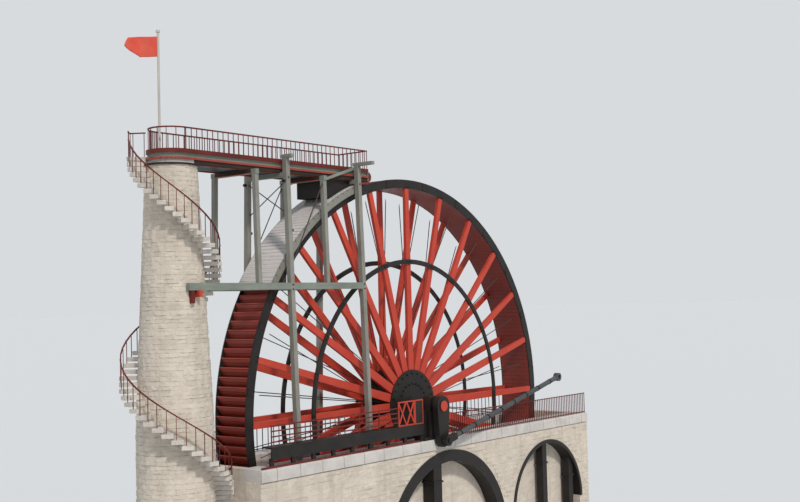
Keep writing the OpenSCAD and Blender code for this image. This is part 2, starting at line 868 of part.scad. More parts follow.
// Flag as one waving band of cloth
module flag() {
    half_t = 12;
    steps = 24;
    wave = 90;
    hem = flagpole_d / 2 + 0.3;
    line = [for (i = [0 : steps]) let (s = i / steps)
        [-flagpole_x - hem - s * flag_l, wave * s * sin(540 * s)]];
    color(spoke_red) translate([0, 0, deck_z + flagpole_h - 150 - flag_h]) linear_extrude(flag_h)
        polygon(concat([for (p = line) [p[0], p[1] + half_t]],
            [for (i = [steps : -1 : 0]) [line[i][0], line[i][1] - half_t]]));
}

module bench() {
    seat_h = 430;
    bench_l = 1900;
    bench_d = 420;
    x0 = -11700;
    y0 = 150;
    color(iron) {
        translate([x0, y0, deck_z + seat_h - 50]) cube([bench_l, bench_d, 50]);
        for (x = [x0 + 250, x0 + bench_l - 350])
            translate([x, y0 + 40, deck_z]) cube([100, bench_d - 80, seat_h - 50]);
    }
}

// Wheel

module axle() {
    color(iron) on_axle(axle_r, -crank_y, wall_mid_y + 420);
}

module wheel_hub() {
    color(iron) difference() {
        union() {
            on_axle(hub_r, -spoke_out_y - hub_disc_t, -spoke_out_y - seat);
            on_axle(hub_r, -spoke_in_y + seat, -spoke_in_y + hub_disc_t);
            on_axle(hub_barrel_r, -spoke_out_y - hub_disc_t, -spoke_in_y + hub_disc_t);
            on_axle(axle_r + 160, -spoke_out_y - hub_disc_t - 60, 0);
        }
        on_axle(axle_r, -2 * shroud_y, 10);
    }
}

module wheel_hubs() {
    wheel_hub();
    mirror([0, 1, 0]) difference() {
        wheel_hub();
        on_axle(hub_barrel_r, -joint, 10);
    }
}

// One timber spoke, wedged at the hub and tapering to the rim
module spoke() {
    root_w = 2 * hub_barrel_r * sin(spoke_turn / 2) - 12;
    reach = shroud_in + 20;
    intersection() {
        across(-spoke_out_y, -spoke_in_y) polygon([[hub_barrel_r + seat, -root_w / 2], [hub_r + 50, -spoke_hub_w / 2],
            [reach, -spoke_rim_w / 2], [reach, spoke_rim_w / 2], [hub_r + 50, spoke_hub_w / 2],
            [hub_barrel_r + seat, root_w / 2]]);
        translate([0, 0, -axle_h]) on_axle(shroud_in - seat, -spoke_out_y - 10, -spoke_in_y + 10);
    }
}

module spokes() {
    color(spoke_red) translate([0, 0, axle_h]) for (i = [0 : spoke_count - 1])
        rotate([0, -i * spoke_turn, 0]) spoke();
}

module near_spokes() { spokes(); }

module far_spokes() { mirror([0, 1, 0]) spokes(); }

module mid_ring() {
    color(iron) segment_ring(mid_ring_r - mid_ring_w / 2, mid_ring_r + mid_ring_w / 2,
        -spoke_out_y - mid_ring_t, -spoke_out_y - seat);
}

module near_mid_ring() { mid_ring(); }

module far_mid_ring() { mirror([0, 1, 0]) mid_ring(); }

module shroud() { color(iron) segment_ring(shroud_in, wheel_r, -shroud_y, -inside_y); }

module near_shroud() { shroud(); }

module far_shroud() { mirror([0, 1, 0]) shroud(); }

module sole_boards() { color(rail_red) segment_ring(shroud_in, sole_out, -inside_y + seat, inside_y - seat); }

// Elbow buckets, open towards the top on the side where the water falls
module bucket_outline() {
    lip = wheel_r - 12;
    root = sole_out + joint;
    polygon([[root, 0], [sole_out + bucket_root, 0], [lip, bucket_lead], [lip, bucket_lead + 1.6 * bucket_t],
        [sole_out + bucket_root, bucket_t], [root, bucket_t]]);
}

module buckets() {
    color(spoke_red) translate([0, 0, axle_h]) for (i = [0 : bucket_count - 1])
        rotate([0, -i * 360 / bucket_count, 0]) across(-inside_y, inside_y) mirror([0, 1]) bucket_outline();
}

// Iron rods that cross from each hub disc to the far side of the rim
module tie_rods() {
    apart = 0.45;
    hub_end = hub_r - 120;
    color(iron) translate([0, 0, axle_h]) intersection() {
        for (i = [0 : spoke_count - 1]) for (side = [-1, 1])
            rotate([0, -(i + 0.5) * spoke_turn - side * apart, 0])
                bar([hub_end, side * (spoke_in_y - hub_disc_t), 0], [shroud_in + 60, -side * (inside_y - 70), 0], tie_rod_d, 8);
        translate([0, 0, -axle_h]) on_axle(shroud_in, -spoke_in_y + hub_disc_t, spoke_in_y - hub_disc_t);
    }
}

// Crank with its pin, hanging straight down
module crank() {
    color(iron) {
        on_axle(crank_boss_r, -crank_out, -crank_y);
        translate([0, 0, -crank_throw]) on_axle(crank_eye_r, -crank_out, -crank_y);
        across(-crank_out, -crank_y) translate([0, axle_h]) polygon([[-crank_boss_r, 0], [crank_boss_r, 0],
            [crank_eye_r, -crank_throw], [-crank_eye_r, -crank_throw]]);
        translate([0, 0, -crank_throw]) on_axle(pin_r, -crank_out - pin_len, -crank_out);
        on_axle(axle_r, -crank_out - 30, -crank_out);
    }
}

// Connecting rod

module rod_place() {
    translate([0, -rod_y, axle_h - crank_throw]) rotate([0, -rod_rise, 0]) children();
}

module connecting_rod() {
    eye_r = 260;
    far_r = 220;
    color(timber_grey) rod_place() difference() {
        union() {
            translate([eye_r + 420, 0, 0]) rotate([0, 90, 0]) cylinder(d = rod_d, h = rod_len - eye_r - 420 - far_r + 60);
            translate([rod_len, rod_eye_t / 2, 0]) rotate([90, 0, 0]) cylinder(r = far_r, h = rod_eye_t);
        }
        translate([rod_len, rod_eye_t, 0]) rotate([90, 0, 0]) cylinder(r = pin_r, h = 2 * rod_eye_t);
    }
}

module rod_big_end() {
    eye_r = 260;
    color(iron) rod_place() difference() {
        union() {
            translate([0, rod_eye_t / 2, 0]) rotate([90, 0, 0]) cylinder(r = eye_r, h = rod_eye_t);
            translate([0, -rod_eye_t / 2, -rod_d / 2 - 30]) cube([eye_r + 420, rod_eye_t, rod_d + 60]);
        }
        translate([0, rod_eye_t, 0]) rotate([90, 0, 0]) cylinder(r = pin_r + run_fit, h = 2 * rod_eye_t);
    }
}

pit_floor();
near_wall();
far_wall();
end_walls();
copings();
arch_rings();
arch_columns();
bearings();
walkway_girder();
walkway_railings();
bearing_screens();
tower();
tower_cornice();
stair_treads();
stair_landing();
stair_railing();
platform_deck();
side_girders();
platform_railings();
launder_trough();
penstock();
cross_beams();
outrigger_caps();
tall_posts();
short_posts();
side_beams();
beam_brackets();
brace_rods();
casing_boards();
casing_edges();
flagpole();
flag();
bench();
axle();
wheel_hubs();
near_spokes();
far_spokes();
near_mid_ring();
far_mid_ring();
near_shroud();
far_shroud();
sole_boards();
buckets();
tie_rods();
crank();
connecting_rod();
rod_big_end();
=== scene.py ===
"""Looks of the water wheel: finishes, small fittings, stones, boards and the flag."""
import json
import math
import random

import bmesh
import bpy
from mathutils import Matrix, Vector


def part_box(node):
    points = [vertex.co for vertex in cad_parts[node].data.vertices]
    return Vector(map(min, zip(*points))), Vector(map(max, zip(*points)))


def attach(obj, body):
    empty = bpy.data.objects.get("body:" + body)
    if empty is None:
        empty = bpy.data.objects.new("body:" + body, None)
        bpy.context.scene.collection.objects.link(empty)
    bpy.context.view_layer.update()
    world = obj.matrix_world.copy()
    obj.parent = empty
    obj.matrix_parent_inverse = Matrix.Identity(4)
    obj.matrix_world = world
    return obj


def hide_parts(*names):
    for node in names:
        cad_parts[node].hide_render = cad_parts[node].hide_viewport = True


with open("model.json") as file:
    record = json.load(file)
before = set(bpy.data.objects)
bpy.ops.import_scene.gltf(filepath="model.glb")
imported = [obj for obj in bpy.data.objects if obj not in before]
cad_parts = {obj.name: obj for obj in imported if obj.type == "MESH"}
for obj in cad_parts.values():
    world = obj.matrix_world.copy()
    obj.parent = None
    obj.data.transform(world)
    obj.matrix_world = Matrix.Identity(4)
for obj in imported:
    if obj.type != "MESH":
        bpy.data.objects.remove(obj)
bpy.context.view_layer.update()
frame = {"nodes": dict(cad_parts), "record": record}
nodes = frame["nodes"]
joint_at = {joint["name"]: Vector(joint["pos_m"]) for joint in frame["record"]["behaviour"]["joints"]}

# Sizes in metres, some of them read from the frame

axle_z = joint_at["wheel_spin"].z
pin_at = joint_at["rod_pivot"]
wheel_r = (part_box("near_shroud")[1][2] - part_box("near_shroud")[0][2]) / 2
shroud_y = -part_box("near_shroud")[0][1]
shroud_depth = 0.43
ring_face_y = -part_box("near_mid_ring")[0][1]
ring_r = (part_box("near_mid_ring")[1][2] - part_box("near_mid_ring")[0][2]) / 2 - 0.115
hub_face_y = ring_face_y - 0.01
spoke_count = 24
spoke_turn = math.tau / spoke_count
wall_y = -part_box("near_wall")[0][1]
wall_left, wall_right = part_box("near_wall")[0][0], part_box("near_wall")[1][0]
wall_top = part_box("near_wall")[1][2]
coping_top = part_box("copings")[1][2]
tower_x = -13.98
tower_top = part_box("tower")[1][2]
tower_foot_r = 1.53
tower_head_r = 1.015
tower_straight_h = 11.6
deck_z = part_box("platform_deck")[1][2]
platform_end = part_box("platform_deck")[1][0]
girder_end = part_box("side_girders")[1][0]
girder_y = 0.9
girder_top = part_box("side_girders")[1][2]
ledge_top, ledge_low = deck_z - 0.07, deck_z - 0.16
beam_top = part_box("side_beams")[1][2]
tall_posts_x = (-8.65, -3.97)
short_posts_x = (-10.56, -6.38)
casing_from, casing_to = math.radians(110.7), math.radians(148.6)
casing_out = 11.23
rod_rise = math.radians(13)
arches = ((0.9, 4.48, 4.9), (9.9, 5.4, 3.5))  # middle in X and Z, and radius
tall_post_half = 0.115


# Node helpers for the finishes

def start_material(name, roughness, metallic=0.0):
    """A new material with its node tree, its shader and the object's own coordinates."""
    material = bpy.data.materials.new(name)
    material.use_nodes = True
    tree = material.node_tree
    shader = tree.nodes["Principled BSDF"]
    shader.inputs["Roughness"].default_value = roughness
    shader.inputs["Metallic"].default_value = metallic
    place = tree.nodes.new("ShaderNodeTexCoord").outputs["Object"]
    return material, tree, shader, place


def stretched(tree, place, scale):
    mapping = tree.nodes.new("ShaderNodeMapping")
    mapping.inputs["Scale"].default_value = scale
    tree.links.new(place, mapping.inputs["Vector"])
    return mapping.outputs["Vector"]


def noise(tree, place, scale, detail=5.0, roughness=0.6):
    texture = tree.nodes.new("ShaderNodeTexNoise")
    texture.inputs["Scale"].default_value = scale
    texture.inputs["Detail"].default_value = detail
    texture.inputs["Roughness"].default_value = roughness
    tree.links.new(place, texture.inputs["Vector"])
    return texture.outputs[0]


def math_node(tree, operation, first, second=None):
    node = tree.nodes.new("ShaderNodeMath")
    node.operation = operation
    for value, socket in zip((first, second), node.inputs):
        if isinstance(value, (int, float)):
            socket.default_value = value
        elif value is not None:
            tree.links.new(value, socket)
    return node.outputs[0]


def ramp(tree, factor, low, high):
    """Factor stretched so that low gives 0 and high gives 1."""
    node = tree.nodes.new("ShaderNodeMapRange")
    node.inputs["From Min"].default_value = low
    node.inputs["From Max"].default_value = high
    tree.links.new(factor, node.inputs["Value"])
    return node.outputs[0]


def mix(tree, factor, first, second, blend="MIX"):
    node = tree.nodes.new("ShaderNodeMix")
    node.data_type = "RGBA"
    node.blend_type = blend
    tree.links.new(factor, node.inputs[0])
    for value, socket in ((first, node.inputs[6]), (second, node.inputs[7])):
        if isinstance(value, tuple):
            socket.default_value = (*value, 1)
        else:
            tree.links.new(value, socket)
    return node.outputs[2]


def bump(tree, shader, height, distance):
    node = tree.nodes.new("ShaderNodeBump")
    node.inputs["Distance"].default_value = distance
    tree.links.new(height, node.inputs["Height"])
    tree.links.new(node.outputs["Normal"], shader.inputs["Normal"])


def about_axle(tree, place):
    """Radius from the axle, place along it, and the way round the rim, all in metres."""
    parts = tree.nodes.new("ShaderNodeSeparateXYZ")
    tree.links.new(place, parts.inputs[0])
    height = math_node(tree, "SUBTRACT", parts.outputs["Z"], axle_z)
    square_x = math_node(tree, "MULTIPLY", parts.outputs["X"], parts.outputs["X"])
    square_z = math_node(tree, "MULTIPLY", height, height)
    radius = math_node(tree, "SQRT", math_node(tree, "ADD", square_x, square_z))
    turn = math_node(tree, "ARCTAN2", height, parts.outputs["X"])
    joined = tree.nodes.new("ShaderNodeCombineXYZ")
    tree.links.new(radius, joined.inputs["X"])
    tree.links.new(parts.outputs["Y"], joined.inputs["Y"])
    tree.links.new(math_node(tree, "MULTIPLY", turn, wheel_r), joined.inputs["Z"])
    return joined.outputs[0]


def part_of(tree, vector, axis):
    parts = tree.nodes.new("ShaderNodeSeparateXYZ")
    tree.links.new(vector, parts.inputs[0])
    return parts.outputs[axis]


def joint_lines(tree, value, pitch, width):
    """1 in a narrow joint that comes once every pitch, 0 on the board between."""
    along = math_node(tree, "FRACT", math_node(tree, "DIVIDE", value, pitch))
    return math_node(tree, "LESS_THAN", along, width / pitch)


def colour_to(tree, shader, colour):
    tree.links.new(colour, shader.inputs["Base Color"])


def lighter_rough(tree, shader, factor, low, high):
    node = tree.nodes.new("ShaderNodeMapRange")
    node.inputs["To Min"].default_value = low
    node.inputs["To Max"].default_value = high
    tree.links.new(factor, node.inputs["Value"])
    tree.links.new(node.outputs[0], shader.inputs["Roughness"])


# Finishes

def whitewash_finish(name, clean, stained):
    """Limewash over rubble: soft lumps, stones of slightly different tone, rain streaks, and thin dark
    horizontal dashes that are painted shade under the stone courses.
    """
    material, tree, shader, place = start_material(name, 0.92)
    stones = tree.nodes.new("ShaderNodeTexVoronoi")
    stones.inputs["Scale"].default_value = 1.0
    tree.links.new(stretched(tree, place, (2.6, 2.6, 4.6)), stones.inputs["Vector"])
    tone = part_of(tree, stones.outputs["Color"], "X")
    streaks = ramp(tree, noise(tree, stretched(tree, place, (2.2, 2.2, 0.16)), 1.0), 0.50, 0.78)
    patches = ramp(tree, noise(tree, place, 0.45, 6.0, 0.7), 0.45, 0.72)
    # Painted shade: thin dark horizontal dashes that stand for the shadows under the stone courses
    course_shadow_dashes = ramp(tree, noise(tree, stretched(tree, place, (2.4, 2.4, 11.0)), 1.0, 3.0), 0.60, 0.72)
    grain = noise(tree, place, 24.0, 3.0)
    colour = mix(tree, math_node(tree, "MULTIPLY", tone, 0.30), clean, stained)
    colour = mix(tree, math_node(tree, "MULTIPLY", streaks, 0.45), colour, stained)
    colour = mix(tree, math_node(tree, "MULTIPLY", patches, 0.30), colour, stained)
    colour = mix(tree, math_node(tree, "MULTIPLY", course_shadow_dashes, 0.40), colour, stained)
    height = part_of(tree, place, "Z")
    damp = math_node(tree, "MULTIPLY", ramp(tree, height, 2.2, 0.0), 0.45)
    colour = mix(tree, damp, colour, (0.30, 0.29, 0.22))
    colour_to(tree, shader, colour)
    lumps = math_node(tree, "ADD", noise(tree, place, 5.0, 4.0), math_node(tree, "MULTIPLY", grain, 0.25))
    bump(tree, shader, lumps, 0.05)
    return material


def coping_finish():
    """Dressed coping stones with joints across, pale with grey weathering."""
    material, tree, shader, place = start_material("coping_stone_finish", 0.88)
    joints = joint_lines(tree, part_of(tree, place, "X"), 1.35, 0.022)
    weather = ramp(tree, noise(tree, place, 1.3, 7.0, 0.7), 0.40, 0.75)
    colour = mix(tree, math_node(tree, "MULTIPLY", weather, 0.55), (0.62, 0.58, 0.54), (0.32, 0.30, 0.27))
    colour = mix(tree, joints, colour, (0.20, 0.19, 0.17))
    colour_to(tree, shader, colour)
    height = math_node(tree, "SUBTRACT", noise(tree, place, 14.0), joints)
    bump(tree, shader, height, 0.02)
    return material


def iron_finish(name, dark, worn, roughness):
    """Thick old paint on iron, with chalky dust and a little rust in patches."""
    material, tree, shader, place = start_material(name, roughness)
    shader.inputs["Specular IOR Level"].default_value = 0.25
    dust = ramp(tree, noise(tree, place, 0.9, 8.0, 0.65), 0.42, 0.80)
    rust = ramp(tree, noise(tree, place, 3.5, 8.0, 0.75), 0.62, 0.72)
    colour = mix(tree, math_node(tree, "MULTIPLY", dust, 0.8), dark, worn)
    colour = mix(tree, math_node(tree, "MULTIPLY", rust, 0.6), colour, (0.16, 0.06, 0.03))
    colour_to(tree, shader, colour)
    lighter_rough(tree, shader, dust, roughness - 0.12, roughness + 0.2)
    bump(tree, shader, noise(tree, place, 30.0, 3.0), 0.004)
    return material


def painted_wood_finish(name, paint, faded, grain_scale, polar=False, board=0.0, across="X"):
    """Paint on timber: grain along the piece, sun-bleached patches and joints between boards."""
    material, tree, shader, place = start_material(name, 0.62)
    where = about_axle(tree, place) if polar else place
    grain = noise(tree, stretched(tree, where, grain_scale), 1.0, 6.0, 0.65)
    bleached = ramp(tree, noise(tree, place, 0.55, 6.0, 0.7), 0.38, 0.72)
    dark = tuple(channel * 0.45 for channel in paint)
    colour = mix(tree, bleached, paint, faded)
    colour = mix(tree, math_node(tree, "MULTIPLY", ramp(tree, grain, 0.52, 0.80), 0.55), colour, dark)
    height = math_node(tree, "MULTIPLY", grain, 0.5)
    if board:
        gaps = joint_lines(tree, part_of(tree, where, across), board, 0.012)
        colour = mix(tree, gaps, colour, tuple(channel * 0.2 for channel in paint))
        height = math_node(tree, "SUBTRACT", height, gaps)
    colour_to(tree, shader, colour)
    lighter_rough(tree, shader, bleached, 0.5, 0.8)
    bump(tree, shader, height, 0.012)
    return material


def cloth_finish():
    """Plain red bunting with a visible weave."""
    material, tree, shader, place = start_material("flag_bunting", 0.85)
    weave = noise(tree, stretched(tree, place, (160.0, 160.0, 160.0)), 1.0, 2.0)
    soft = noise(tree, place, 1.6, 3.0)
    colour = mix(tree, ramp(tree, soft, 0.3, 0.75), (0.62, 0.055, 0.03), (0.74, 0.11, 0.06))
    colour_to(tree, shader, colour)
    shader.inputs["Sheen Weight"].default_value = 0.25
    bump(tree, shader, weave, 0.0015)
    return material


whitewash = whitewash_finish("whitewash_on_rubble", (0.70, 0.618, 0.515), (0.36, 0.306, 0.246))
tread_wash = whitewash_finish("whitewash_on_treads", (0.68, 0.625, 0.555), (0.34, 0.304, 0.26))
coping_stone = coping_finish()
black_iron = iron_finish("black_painted_iron", (0.014, 0.012, 0.011), (0.040, 0.034, 0.029), 0.55)
rod_iron = iron_finish("dark_rod_iron", (0.045, 0.034, 0.028), (0.11, 0.08, 0.065), 0.5)
rail_red = iron_finish("dark_red_iron_paint", (0.115, 0.015, 0.011), (0.20, 0.035, 0.025), 0.48)
spoke_red = painted_wood_finish(
    "vermilion_spoke_paint", (0.47, 0.034, 0.014), (0.57, 0.065, 0.032), (0.5, 14.0, 14.0), polar=True)
drum_red = painted_wood_finish(
    "brown_red_drum_paint", (0.17, 0.022, 0.013), (0.27, 0.04, 0.024), (6.0, 0.6, 18.0),
    polar=True, board=0.241, across="Z")
bucket_red = painted_wood_finish(
    "bucket_board_paint", (0.34, 0.036, 0.020), (0.44, 0.065, 0.038), (6.0, 0.6, 18.0),
    polar=True, board=0.105)
grey_timber = painted_wood_finish(
    "grey_timber_paint", (0.20, 0.195, 0.165), (0.30, 0.29, 0.25), (14.0, 14.0, 0.9))
grey_beam = painted_wood_finish(
    "grey_green_beam_paint", (0.165, 0.19, 0.155), (0.25, 0.28, 0.235), (0.9, 14.0, 14.0))
casing_paint = painted_wood_finish(
    "pale_casing_paint", (0.60, 0.55, 0.53), (0.70, 0.66, 0.64), (6.0, 0.6, 16.0),
    polar=True, board=0.215, across="Z")
pole_paint = painted_wood_finish(
    "pale_pole_paint", (0.46, 0.42, 0.37), (0.56, 0.53, 0.48), (14.0, 14.0, 0.9))
deck_wood = painted_wood_finish(
    "worn_deck_boards", (0.20, 0.14, 0.10), (0.30, 0.24, 0.19), (16.0, 0.8, 6.0), board=0.2)
# Near-black boards that are painted shade: they stand for the shade under the deck and on the lower parts of
# the girders and cross beams
painted_shade_board = painted_wood_finish(
    "painted_shade_boards", (0.035, 0.022, 0.018), (0.06, 0.04, 0.03), (0.8, 14.0, 14.0))
painted_shade_board.node_tree.nodes["Principled BSDF"].inputs["Specular IOR Level"].default_value = 0.15
rod_wood = painted_wood_finish(
    "dark_rod_timber", (0.040, 0.042, 0.045), (0.10, 0.105, 0.11), (0.7, 16.0, 16.0))
bunting = cloth_finish()

NODE_FINISH = {
    whitewash: ("tower", "near_wall", "far_wall", "end_walls", "pit_floor"),
    tread_wash: ("stair_treads", "stair_landing"),
    coping_stone: ("copings",),
    # The tower's cornice is near-black as painted shade: it stands for the shadow line under the platform
    # girders
    black_iron: ("arch_rings", "arch_columns", "bearings", "walkway_girder", "launder_trough",
                 "penstock", "axle", "wheel_hubs", "near_mid_ring", "far_mid_ring", "near_shroud",
                 "far_shroud", "crank", "rod_big_end", "tower_cornice"),
    rod_iron: ("tie_rods", "brace_rods"),
    rail_red: ("walkway_railings", "stair_railing", "platform_railings", "bench"),
    spoke_red: ("near_spokes", "far_spokes", "bearing_screens", "beam_brackets"),
    drum_red: ("sole_boards",),
    bucket_red: ("buckets",),
    grey_timber: ("tall_posts", "short_posts", "casing_edges", "outrigger_caps"),
    grey_beam: ("side_beams", "cross_beams", "side_girders"),
    casing_paint: ("casing_boards",),
    pole_paint: ("flagpole",),
    deck_wood: ("platform_deck",),
    rod_wood: ("connecting_rod",),
}
for finish, names in NODE_FINISH.items():
    for name in names:
        mesh = nodes[name].data
        mesh.materials.clear()
        mesh.materials.append(finish)


# Making of pieces

def add_piece(name, made, finish, body):
    """A finished piece from a bmesh, at the origin, riding on its body."""
    mesh = bpy.data.meshes.new(name)
    made.to_mesh(mesh)
    made.free()
    mesh.materials.append(finish)
    piece = bpy.data.objects.new(name, mesh)
    bpy.context.scene.collection.objects.link(piece)
    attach(piece, body)
    return piece


def facing(axis):
    """Turn that takes +Z to the axis."""
    return Vector((0, 0, 1)).rotation_difference(Vector(axis)).to_matrix().to_4x4()


def add_bolt(made, at, axis, across, height):
    """Six-sided bolt head standing on the surface at the point."""
    place = Matrix.Translation(Vector(at) + Vector(axis) * height / 2) @ facing(axis)
    bmesh.ops.create_cone(made, cap_ends=True, segments=6, radius1=across / 2, radius2=across * 0.42,
                          depth=height, matrix=place)


def add_block(made, low, high, turn=None):
    """Square block between two corners, turned about the origin afterwards."""
    low, high = Vector(low), Vector(high)
    size = high - low
    place = Matrix.Translation((low + high) / 2) @ Matrix.Diagonal((*size, 1))
    if turn is not None:
        place = turn @ place
    bmesh.ops.create_cube(made, size=1, matrix=place)


def round_axle(turn, radius, y, aside=0.0):
    """Point at a turn and radius about the axle, moved aside square to the radius."""
    return Vector((radius * math.cos(turn) - aside * math.sin(turn), y,
                   axle_z + radius * math.sin(turn) + aside * math.cos(turn)))


def ring_bolts():
    """Bolts through the middle rings into every spoke, on both sides."""
    made = bmesh.new()
    for spoke in range(spoke_count):
        for side in (-1, 1):
            for aside in (-0.09, 0.09):
                at = round_axle(spoke * spoke_turn, ring_r, side * ring_face_y, aside)
                add_bolt(made, at, (0, side, 0), 0.075, 0.04)
    add_piece("ring_bolts", made, black_iron, "wheel")


def shroud_bolts():
    """Bolts that hold each shroud segment to its spoke and to the next segment."""
    made = bmesh.new()
    inner = wheel_r - shroud_depth + 0.07
    outer = wheel_r - 0.08
    for spoke in range(spoke_count):
        for side in (-1, 1):
            for aside in (-0.10, 0.10):
                add_bolt(made, round_axle(spoke * spoke_turn, inner, side * shroud_y, aside), (0, side, 0),
                         0.07, 0.035)
                for radius in (inner, outer):
                    add_bolt(made, round_axle((spoke + 0.5) * spoke_turn, radius, side * shroud_y, aside),
                             (0, side, 0), 0.06, 0.03)
    add_piece("shroud_bolts", made, black_iron, "wheel")


def shroud_cover_plates():
    """Thin plates over the joints between shroud segments."""
    made = bmesh.new()
    for joint in range(spoke_count):
        turn = (joint + 0.5) * spoke_turn
        tilt = Matrix.Translation((0, 0, axle_z)) @ Matrix.Rotation(-turn, 4, "Y")
        for side in (-1, 1):
            face = side * shroud_y
            add_block(made, (wheel_r - shroud_depth + 0.02, min(face, face + side * 0.014), -0.16),
                      (wheel_r - 0.03, max(face, face + side * 0.014), 0.16), tilt)
    add_piece("shroud_cover_plates", made, black_iron, "wheel")


def hub_bolts():
    """Two rings of bolts on each hub disc, one pair to a spoke."""
    made = bmesh.new()
    for spoke in range(spoke_count):
        for side in (-1, 1):
            for radius in (1.02, 1.52):
                at = round_axle(spoke * spoke_turn, radius, side * hub_face_y)
                add_bolt(made, at, (0, side, 0), 0.1, 0.06)
    add_piece("hub_bolts", made, black_iron, "wheel")


def axle_end():
    """Red-painted end of the axle, in the face of the crank."""
    made = bmesh.new()
    boss_face_y = -2.89
    place = Matrix.Translation((0, boss_face_y - 0.012, axle_z)) @ facing((0, -1, 0))
    bmesh.ops.create_cone(made, cap_ends=True, segments=48, radius1=0.262, radius2=0.25, depth=0.03,
                          matrix=place)
    add_piece("axle_end", made, spoke_red, "wheel")


def rod_bands():
    """Iron bands round the connecting rod, each with its clamping bolt."""
    made = bmesh.new()
    along = Vector((math.cos(rod_rise), 0, math.sin(rod_rise)))
    for band in range(8):
        at = pin_at + along * (1.1 + band * 1.2)
        place = Matrix.Translation(at) @ facing(along)
        bmesh.ops.create_cone(made, cap_ends=True, segments=32, radius1=0.138, radius2=0.138, depth=0.09,
                              matrix=place)
        add_bolt(made, at + Vector((0, -0.134, 0)), (0, -1, 0), 0.06, 0.035)
    add_piece("rod_bands", made, black_iron, "rod")


# Stones, laid on the walls and the tower

def lay_courses(made, length, low, high, course_h, stone_l, seed):
    """Rows of stones as flat faces in X and Z, from 0 to the length and between two heights."""
    chance = random.Random(seed)
    height = low
    while height < high - 0.3 * course_h:
        top = min(high, height + course_h * chance.uniform(0.75, 1.25))
        count = max(3, round(length / (stone_l * chance.uniform(0.85, 1.2))))
        step = length / count
        row = bmesh.ops.create_grid(made, x_segments=count, y_segments=1, size=0.5)["verts"]
        shifts = [0.0] + [chance.uniform(-0.28, 0.28) for _ in range(count - 1)] + [0.0]
        for vertex in row:
            column = round((vertex.co.x + 0.5) * count)
            vertex.co = Vector(((column + shifts[column]) * step, 0, top if vertex.co.y > 0 else height))
        height = top


def raise_stones(made, seed, proud):
    """Turns every face into a stone that stands a little out of the wall."""
    chance = random.Random(seed)
    bmesh.ops.inset_individual(made, faces=made.faces[:], thickness=0.022, depth=0.0)
    for face in made.faces:
        if all(edge.is_manifold for edge in face.edges):
            lift = proud * chance.uniform(0.5, 1.0)
            for vertex in face.verts:
                vertex.co.y = -lift * chance.uniform(0.7, 1.0)
        face.smooth = False
    for vertex in made.verts:
        if vertex.co.y == 0.0:
            vertex.co.y = 0.006


def inside_arch(x, z, centre_x, centre_z, radius, clear):
    if z > centre_z:
        return math.hypot(x - centre_x, z - centre_z) < radius + clear
    return abs(x - centre_x) < radius + clear


def wall_stones(side):
    """Whitewashed rubble on the outer face of one pit wall."""
    made = bmesh.new()
    lay_courses(made, wall_right - wall_left, 0.0, wall_top - 0.01, 0.2, 0.42, 11 + side)
    hidden = []
    for face in made.faces:
        corners = [(vertex.co.x + wall_left, vertex.co.z) for vertex in face.verts]
        if any(inside_arch(x, z, *arch, 0.02) for x, z in corners for arch in arches):
            hidden.append(face)
    bmesh.ops.delete(made, geom=hidden, context="FACES")
    raise_stones(made, 21 + side, 0.045)
    for vertex in made.verts:
        vertex.co = Vector((vertex.co.x + wall_left, -wall_y + vertex.co.y, vertex.co.z))
    if side > 0:
        bmesh.ops.mirror(made, geom=made.verts[:] + made.edges[:] + made.faces[:], axis="Y", merge_dist=0)
        near = [vertex for vertex in made.verts if vertex.co.y < 0]
        bmesh.ops.delete(made, geom=near, context="VERTS")
        bmesh.ops.recalc_face_normals(made, faces=made.faces[:])
        outward_check(made, 1)
    name = "near_wall_stones" if side < 0 else "far_wall_stones"
    add_piece(name, made, whitewash, "structure")


def outward_check(made, sign):
    """Turns the faces over if they look into the wall."""
    lean = sum(face.normal.y * face.calc_area() for face in made.faces)
    if lean * sign < 0:
        bmesh.ops.reverse_faces(made, faces=made.faces[:])


def tower_radius(height):
    taper = (tower_foot_r - tower_head_r) / (tower_top - tower_straight_h)
    return tower_foot_r - taper * max(0.0, height - tower_straight_h)


def tower_stones():
    """Whitewashed rubble round the tower, thinning with its taper."""
    made = bmesh.new()
    lay_courses(made, 1.0, 0.0, tower_top - 0.02, 0.175, 1 / 24, 31)
    girth = math.tau * 1.3
    for vertex in made.verts:
        vertex.co.x *= girth
    raise_stones(made, 32, 0.05)
    for vertex in made.verts:
        turn = vertex.co.x / girth * math.tau
        reach = tower_radius(vertex.co.z) - vertex.co.y
        vertex.co = Vector((tower_x + reach * math.cos(turn), reach * math.sin(turn), vertex.co.z))
    add_piece("tower_stones", made, whitewash, "structure")


# Timber and iron details on the structure

def post_middle_y(height):
    """Distance of a tall post's middle line from the middle plane."""
    foot_y, head_y, head_z = 1.6, 1.19, deck_z + 0.3
    return head_y + (foot_y - head_y) * (head_z - height) / (head_z - coping_top)


def post_bolts():
    """Bolt heads where beams meet the tall posts, and the round knobs on the sides of the first pair."""
    made = bmesh.new()
    half = tall_post_half
    for x in tall_posts_x:
        for height in (beam_top - 0.28, beam_top - 0.08, deck_z - 0.55, coping_top + 0.25):
            for side in (-1, 1):
                y = side * (post_middle_y(height) + half)
                add_bolt(made, (x, y, height), (0, side, 0), 0.07, 0.04)
    knob_length = 0.13
    for height, way in ((deck_z - 0.71, -1), (deck_z - 2.84, 1)):
        for side in (-1, 1):
            at = (tall_posts_x[0] + way * (half + knob_length / 2), side * post_middle_y(height), height)
            place = Matrix.Translation(at) @ facing((way, 0, 0))
            bmesh.ops.create_cone(made, cap_ends=True, segments=20, radius1=0.055, radius2=0.065,
                                  depth=knob_length, matrix=place)
    add_piece("post_bolts", made, black_iron, "structure")


